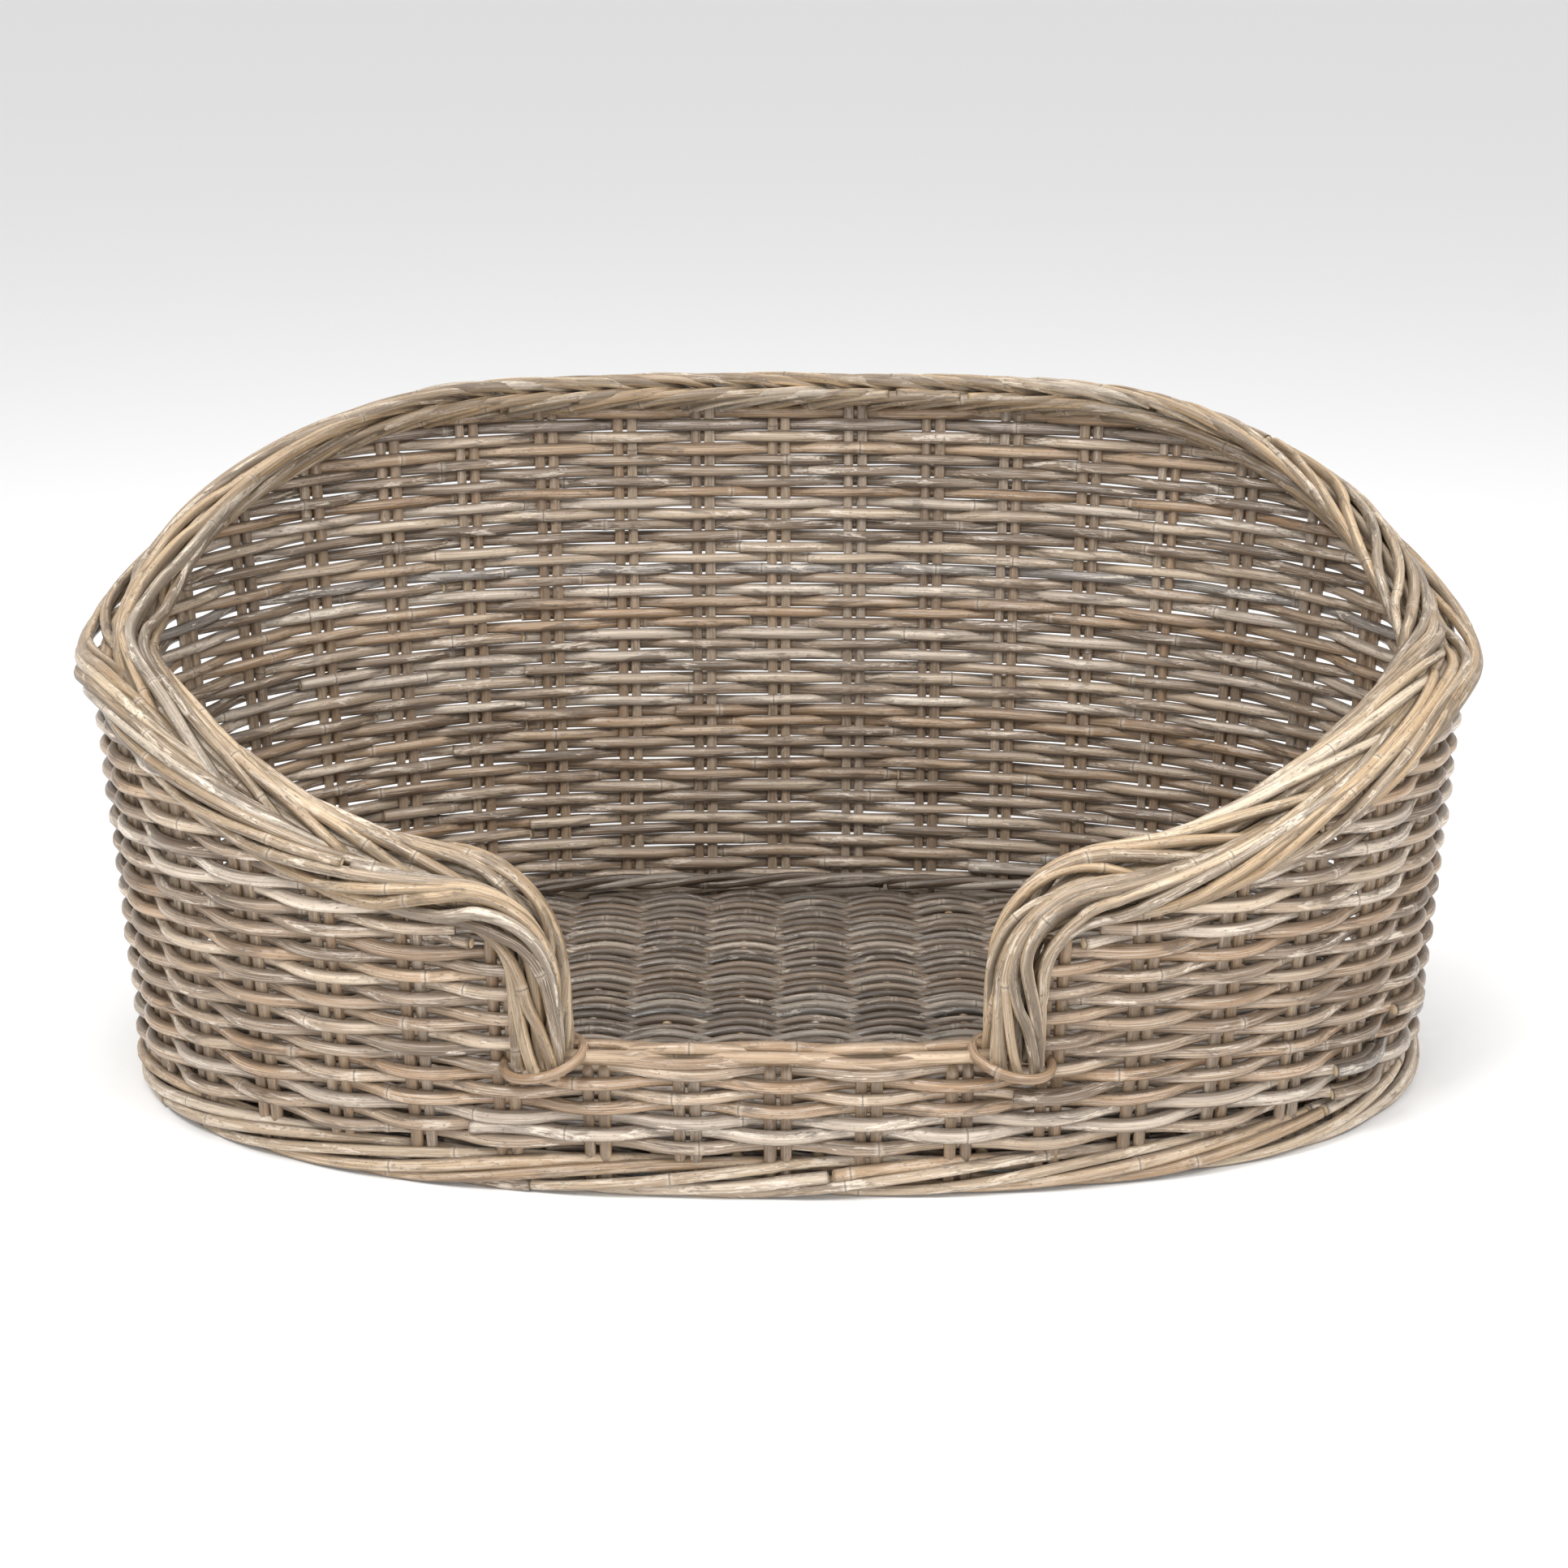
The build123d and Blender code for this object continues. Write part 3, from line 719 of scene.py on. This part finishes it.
# ---- rolled rim ------------------------------------------------------------------------------------
RIM_STRANDS = 16
RIM_CORE_STRANDS = 5
RIM_CANE_RADIUS = 4.1 * MM
RIM_FULLNESS = 1.09           # how far out the strands may lie, as a share of the rim's section
SIDE_BULGE_WIDTH = 6 * MM     # the canes spread this much wider at the sides than the CAD rim
SIDE_BULGE_OUT = 4 * MM
SIDE_BULGE_TURN = (30, 115)   # degrees from the back
SIDE_BULGE_FADE = 30
ARM_PLAIT_LENGTH = 0.72
SIDE_PLAIT_LENGTH = 1.15
BACK_PLAIT_LENGTH = 0.46
PLAIT_CHANGES = (20, 75, 115, 150)    # degrees from the back where the plait's length changes
PLAIT_TURN = (0.0, 125.0)     # degrees from the back over which the plait's seam moves from inside to the top
PLAIT_POWER = 0.8             # below 1, the strands cross faster from one face to the other
CORNER_POWER = 6              # how sharply the strands are held inside the rim's oval
RIM_SIZES = (0.86, 1.12)      # thickness of the rim's canes, as a share
CORE_SPREAD = 0.42            # half the width that the core strands lie in, as a share of the rim's
END_STEPS = 160
BODY_STEPS = 1800
END_FOOT_DROP = 3 * MM        # the rim's ends reach this much below the top of the sill's siding
RIM_POINT_GAP = 1.6 * MM
EASE_POINTS = 41
RIM_CANE_LENGTH = 1.4
RIM_CANE_WOBBLE = 1.2 * MM
PHASE_SPREAD = 0.04           # radians by which a strand of the plait is off its even place
PLAIT_DRIFT = (0.1, 0.5)      # and by which it strays on its way, with the length of the waves
PLAIT_LEVEL = 0.97            # how far out a strand runs, as a share
PLAIT_RIPPLE = (0.06, 0.3)


def end_centre(side, angle):
    """Middle line where the rim turns down beside the opening, as in the CAD part."""
    arm_turn = turn_at(side * RIM_BEND_STATION)
    arm = wall(arm_turn, rim_height(arm_turn), -rim_section(arm_turn)[2])
    around = np.radians(np.minimum(angle, 90.0))
    share = np.minimum(angle, 90.0) / 90.0
    station = RIM_BEND_STATION - (abs(arm[0]) - RIM_END_X) * np.sin(around) / PITCH
    down = np.radians(np.maximum(angle - 90.0, 0.0)) * END_BEND_RADIUS
    height = arm[2] - END_BEND_RADIUS * (1 - np.cos(around)) - down
    inset = rim_section(arm_turn)[2] * (1 - share) - RIM_END_OUTSET * share
    return wall(turn_at(side * station), height, -inset)


def eased(rows):
    """Take the sharp bends out of a line by a running mean that keeps its ends."""
    reach = EASE_POINTS // 2
    head = 2 * rows[0] - rows[reach:0:-1]
    tail = 2 * rows[-1] - rows[-2:-reach - 2:-1]
    padded = np.concatenate([head, rows, tail])
    weights = np.hanning(EASE_POINTS + 2)[1:-1]
    weights /= weights.sum()
    return np.stack([np.convolve(padded[:, k], weights, "valid") for k in range(3)], axis=-1)


def rim_line():
    """The whole rim from its right foot round the back to its left foot.

    Returns distances, centres, broad and thin directions, half sizes and degrees from the back.
    """
    upright = rim_height(turn_at(RIM_BEND_STATION)) - END_BEND_RADIUS - SILL_HEIGHT + END_FOOT_DROP
    foot_angle = 90 + math.degrees(upright / END_BEND_RADIUS)
    angles = np.linspace(foot_angle, 0, END_STEPS)
    stations = np.linspace(RIM_BEND_STATION, STAKE_PAIRS - RIM_BEND_STATION, BODY_STEPS)[1:-1]
    turn = turn_at(stations)
    body = wall(turn, rim_height(turn), -rim_section(turn)[2])
    centre = np.concatenate([end_centre(1, angles), body, end_centre(-1, angles)[::-1]])
    right_turns = np.full(END_STEPS, turn_at(RIM_BEND_STATION))
    turns = np.concatenate([right_turns, turn, PI - right_turns])
    bent = np.minimum(angles, 90) / 90
    share = np.concatenate([bent, np.zeros(len(stations)), bent[::-1]])
    width, thickness, _ = rim_section(turns)
    width = width + (RIM_END_SECTION[0] - width) * share
    thickness = thickness + (RIM_END_SECTION[1] - thickness) * share
    tilt = RIM_TILT * (1 - share)
    run = distances(centre)
    even = np.linspace(0, run[-1], int(run[-1] / RIM_POINT_GAP))
    centre = eased(resample(centre, run, even))
    normal = eased(resample(outward(turns), run, even))
    width, thickness, angle, tilt = [
        np.interp(even, run, values) for values in (width, thickness, from_back(turns), tilt)
    ]
    run, tilt = even, tilt[:, None]
    along = unit(np.gradient(centre, run, axis=0))
    upward = unit(np.cross(normal, along))
    normal = np.cross(along, upward)
    first, last = SIDE_BULGE_TURN
    bulge = smooth((angle - first) / SIDE_BULGE_FADE) * smooth((last - angle) / SIDE_BULGE_FADE)
    width = width + SIDE_BULGE_WIDTH * bulge
    centre = centre + normal * (SIDE_BULGE_OUT * bulge)[:, None]
    broad = normal * np.cos(tilt) - upward * np.sin(tilt)
    thin = normal * np.sin(tilt) + upward * np.cos(tilt)
    return run, centre, broad, thin, width, thickness, angle


def lay_rim():
    """The rim's strands: a plait that crosses over itself, and straighter canes in its core."""
    run, centre, broad, thin, width, thickness, angle = rim_line()
    nodes = [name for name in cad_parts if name.startswith("rim_")]
    to_arm = smooth((angle - PLAIT_TURN[0]) / (PLAIT_TURN[1] - PLAIT_TURN[0]))
    lengths = (BACK_PLAIT_LENGTH, SIDE_PLAIT_LENGTH, SIDE_PLAIT_LENGTH, ARM_PLAIT_LENGTH)
    length = np.interp(angle, PLAIT_CHANGES, lengths)
    wound = np.concatenate([[0.0], np.cumsum(np.diff(run) * TAU / length[1:])])
    seam = (PI / 2) * (1 - to_arm)
    for strand in range(RIM_STRANDS + RIM_CORE_STRANDS):
        canes = Canes(sides=12)
        thick = RIM_CANE_RADIUS * rng.uniform(*RIM_SIZES)
        if strand < RIM_STRANDS:
            phase = TAU * strand / RIM_STRANDS + rng.uniform(-PHASE_SPREAD, PHASE_SPREAD)
            theta = wound + phase + wander(*PLAIT_DRIFT)(run)
            fullness = PLAIT_LEVEL + wander(*PLAIT_RIPPLE)(run)
            x = np.sin(theta) * fullness
            n = -signed_power(np.sin(2 * theta), PLAIT_POWER) * fullness
        else:
            place = CORE_SPREAD * (2 * (strand - RIM_STRANDS) / (RIM_CORE_STRANDS - 1) - 1)
            x = np.full(len(run), place) + wander(0.1, 0.4)(run)
            n = wander(0.12, 0.4)(run)
        across = x * np.cos(seam) + n * np.sin(seam)
        depth = n * np.cos(seam) - x * np.sin(seam)
        limit = RIM_FULLNESS / (1 + np.hypot(across, depth) ** CORNER_POWER) ** (1 / CORNER_POWER)
        across = across * limit * (width - thick)
        depth = depth * limit * (thickness - thick)
        path = centre + broad * across[:, None] + thin * depth[:, None]
        first, short = rng.integers(0, 6, 2)
        last = len(run) - short
        lay_lengths(canes, path[first:last], thick, thin[first:last], RIM_CANE_LENGTH, RIM_CANE_WOBBLE)
        canes.build(f"rim_cane_{strand + 1:02d}", RIM, "rim_cane", nodes)


lay_rim()


# ---- foot border and floor waling ------------------------------------------------------------------
TWIST_STEPS = 2400
TWIST_CANE_LENGTH = 0.8


def lay_twist(label, strands, turns_round, radius, offset, reach, middle, rise, material, slot, node):
    """Strands twisted round each other along the oval, flattened to the given reach and rise."""
    stations = np.linspace(0, STAKE_PAIRS, TWIST_STEPS)
    turns = turn_at(stations)
    up = outward(turns) + 0.2 * UP
    for strand in range(strands):
        canes = Canes(sides=12)
        thick = radius * rng.uniform(0.88, 1.1)
        drift = rng.uniform(-0.15, 0.15) + wander(0.15, 0.5)(stations * PITCH)
        theta = TAU * (stations / STAKE_PAIRS * turns_round + strand / strands) + drift
        out = offset + (reach - thick) * np.cos(theta)
        high = middle + (rise - thick) * np.sin(theta)
        path = wall(turns, 0.0, out) + UP * high[:, None]
        first = rng.integers(0, len(path) - 1)
        path, facing = [np.roll(rows[:-1], first, axis=0) for rows in (path, up)]
        lay_lengths(canes, path, thick, facing, TWIST_CANE_LENGTH, wobble=1.0 * MM)
        canes.build(f"{label}_{strand + 1}", material, slot, [node])


lay_twist(
    "foot_cane", strands=6, turns_round=5, radius=4.4 * MM,
    offset=(FOOT_OUTSET - FOOT_INSET) / 2, reach=(FOOT_OUTSET + FOOT_INSET) / 2,
    middle=FOOT_HEIGHT / 2, rise=FOOT_HEIGHT / 2,
    material=FOOT, slot="foot_cane", node="foot_border",
)
lay_twist(
    "floor_wale", strands=3, turns_round=16, radius=3.3 * MM,
    offset=-FOOT_INSET - 6.5 * MM, reach=6.4 * MM,
    middle=(wale_lo[2] + wale_hi[2]) / 2, rise=6.2 * MM,
    material=FLOOR, slot="floor_cane", node="floor_wale",
)


# ---- floor -----------------------------------------------------------------------------------------
STICK_RADIUS = (sticks_hi[2] - sticks_lo[2]) / 2
STICK_Z = (sticks_hi[2] + sticks_lo[2]) / 2
STICK_COUNT = 16
STICK_PITCH = (sticks_hi[0] - sticks_lo[0] - 2 * STICK_RADIUS) / (STICK_COUNT - 1)
FLOOR_RADIUS = 3.7 * MM
FLOOR_PITCH = 7.3 * MM
FLOOR_WAVE = 4.7 * MM         # half the height of a floor cane's wave
FLOOR_EDGE_GAP = 3 * MM
STICK_POINTS = 200
BAND_LINES = 24               # floor canes in one piece


def oval_reach(place, half_along, half_across):
    """Half the chord of an oval at this distance from its middle."""
    return half_along * (1 - (abs(place) / half_across) ** OVAL_EXPONENT) ** (1 / OVAL_EXPONENT)


half_x, half_y = HALF_LENGTH - FOOT_INSET, HALF_DEPTH - FOOT_INSET
canes = Canes(sides=12)
for index in range(STICK_COUNT):
    x = (index - (STICK_COUNT - 1) / 2) * STICK_PITCH
    reach = oval_reach(x, half_y, half_x) - FLOOR_EDGE_GAP
    y = np.linspace(PLAN_Y - reach, PLAN_Y + reach, STICK_POINTS)
    path = np.stack([np.full(STICK_POINTS, x), y, np.full(STICK_POINTS, STICK_Z)], axis=-1)
    canes.add(path, STICK_RADIUS, np.broadcast_to(UP, path.shape))
canes.build("floor_sticks", STAKE, "stake_cane", ["base_sticks"])

lines = int((half_y - FLOOR_EDGE_GAP) / FLOOR_PITCH)
bands = {}
for line in range(-lines, lines + 1):
    y = line * FLOOR_PITCH
    reach = oval_reach(y, half_x, half_y) - FLOOR_EDGE_GAP
    x = np.linspace(-reach, reach, int(2 * reach / DENSE))
    wave = np.cos(PI * (x / STICK_PITCH + 0.5 + line))
    sway = wander(1.3 * MM, 0.2)(x)
    level = STICK_Z + FLOOR_WAVE * wave + wander(0.7 * MM, 0.1)(x)
    path = np.stack([x, PLAN_Y + y + sway, level], axis=-1)
    band = bands.setdefault((line + lines) // BAND_LINES, Canes())
    band.add(path, FLOOR_RADIUS * rng.uniform(0.88, 1.12), np.broadcast_to(UP, path.shape), wobble=0.4 * MM)
for index, band in bands.items():
    band.build(f"floor_canes_{index + 1}", FLOOR, "floor_cane", ["base_weave"])


# ---- sill top and tie rings ------------------------------------------------------------------------
SILL_TOP_REACH = 2.75
SILL_CANE_RADIUS = 4.2 * MM
# Each strand: the stake pairs it passes outside (0 even, 1 odd), its middle line outward from the siding's
# middle, its swing to each side, its height over the sill and how much it rises and falls.
SILL_STRANDS = (
    (1, 0.5 * MM, 5 * MM, 4 * MM, 0.5 * MM),
    (0, -0.5 * MM, 5 * MM, 7 * MM, 2 * MM),
    (1, -7 * MM, 5 * MM, 9.5 * MM, 3.5 * MM),
    (0, -12 * MM, 5 * MM, 8.5 * MM, 3.5 * MM),
)

for index, (phase, offset, swing, lift, wave_height) in enumerate(SILL_STRANDS):
    canes = Canes(sides=12)
    span = np.linspace(-SILL_TOP_REACH, SILL_TOP_REACH, 500)
    wave = np.cos(PI * (span + phase))
    path = wall(turn_at(span), SILL_HEIGHT + lift + wave_height * wave, offset + swing * wave)
    tone = random_tone((0.2, 0.9), (0.5, 1))
    canes.add(path, SILL_CANE_RADIUS, outward(turn_at(span)), tone, wobble=1.2 * MM)
    canes.build(f"sill_top_cane_{index + 1}", GLOSSY, "glossy_cane", ["sill_cane"])


TIE_TONE = np.array([0.35, 0.95, 0.8])    # how light, warm and glossy
TIE_SLOPE = (6 * MM, 3 * MM)              # how far a loop is tipped sideways and from front to back
TIE_LIFT = 1 * MM
TIE_POINTS = 200


def lay_tie(name, side):
    """Cane loop round the foot of the rim's end, lower on the side away from the opening."""
    lo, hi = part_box(f"tie_ring_{name}")
    middle, half = (Vector(lo) + Vector(hi)) / 2, (Vector(hi) - Vector(lo)) / 2
    radius = half.z
    theta = np.linspace(0, TAU, TIE_POINTS + 1)[:-1]
    tilt = -side * np.cos(theta) * TIE_SLOPE[0] + np.sin(theta) * TIE_SLOPE[1]
    path = np.stack([
        middle.x + (half.x - radius) * np.cos(theta),
        middle.y + (half.y - radius) * np.sin(theta),
        middle.z + tilt + TIE_LIFT,
    ], axis=-1)
    canes = Canes(sides=14, step=2 * MM)
    canes.add(path, radius, np.broadcast_to(UP, path.shape), TIE_TONE, closed=True)
    canes.build(f"tie_loop_{name}", GLOSSY, "glossy_cane", [f"tie_ring_{name}"])


lay_tie("right", 1)
lay_tie("left", -1)


# ---- stage, light and camera -----------------------------------------------------------------------
STAGE_HALF = 60.0
CAMERA_DISTANCE = 2.35
CAMERA_ELEVATION = math.radians(17.85)
CAMERA_LENS = 74.5
TARGET = Vector((0.004, PLAN_Y, 0.2))

mesh = bpy.data.meshes.new("studio_floor")
corners = [(x * STAGE_HALF, y * STAGE_HALF, 0) for x, y in ((-1, -1), (1, -1), (1, 1), (-1, 1))]
mesh.from_pydata(corners, [], [(0, 1, 2, 3)])
floor = bpy.data.objects.new("studio_floor", mesh)
bpy.context.scene.collection.objects.link(floor)
pale = bpy.data.materials.new("studio_pale")
pale.use_nodes = True
pale_shader = pale.node_tree.nodes["Principled BSDF"]
pale_shader.inputs["Base Color"].default_value = (0.93, 0.93, 0.93, 1)
pale_shader.inputs["Roughness"].default_value = 0.9
mesh.materials.append(pale)

world = bpy.data.worlds.new("studio")
bpy.context.scene.world = world
world.use_nodes = True
world.node_tree.nodes["Background"].inputs["Color"].default_value = (1, 1, 1, 1)
world.node_tree.nodes["Background"].inputs["Strength"].default_value = 0.78


def area_light(name, place, size, power):
    lamp = bpy.data.lights.new(name, "AREA")
    lamp.shape = "RECTANGLE"
    lamp.size, lamp.size_y = size
    lamp.energy = power
    holder = bpy.data.objects.new(name, lamp)
    holder.location = place
    holder.rotation_euler = (TARGET - Vector(place)).to_track_quat("-Z", "Y").to_euler()
    bpy.context.scene.collection.objects.link(holder)


area_light("key", place=(-1.0, -1.5, 2.2), size=(0.9, 0.6), power=36)
area_light("fill", place=(1.4, -1.5, 1.9), size=(0.9, 0.6), power=22)
area_light("top", place=(0, 0.2, 2.6), size=(1.4, 0.9), power=22)
area_light("front_left", place=(-0.9, -2.5, 0.6), size=(0.5, 0.8), power=10)
area_light("front_right", place=(0.9, -2.5, 0.6), size=(0.5, 0.8), power=10)
bpy.context.scene.view_settings.view_transform = "Standard"

camera = bpy.data.cameras.new("camera")
camera.sensor_width = 36
camera.lens = CAMERA_LENS
holder = bpy.data.objects.new("camera", camera)
bpy.context.scene.collection.objects.link(holder)
back = Vector((0, -math.cos(CAMERA_ELEVATION), math.sin(CAMERA_ELEVATION)))
holder.location = TARGET + back * CAMERA_DISTANCE
holder.rotation_euler = (-back).to_track_quat("-Z", "Y").to_euler()
bpy.context.scene.camera = holder
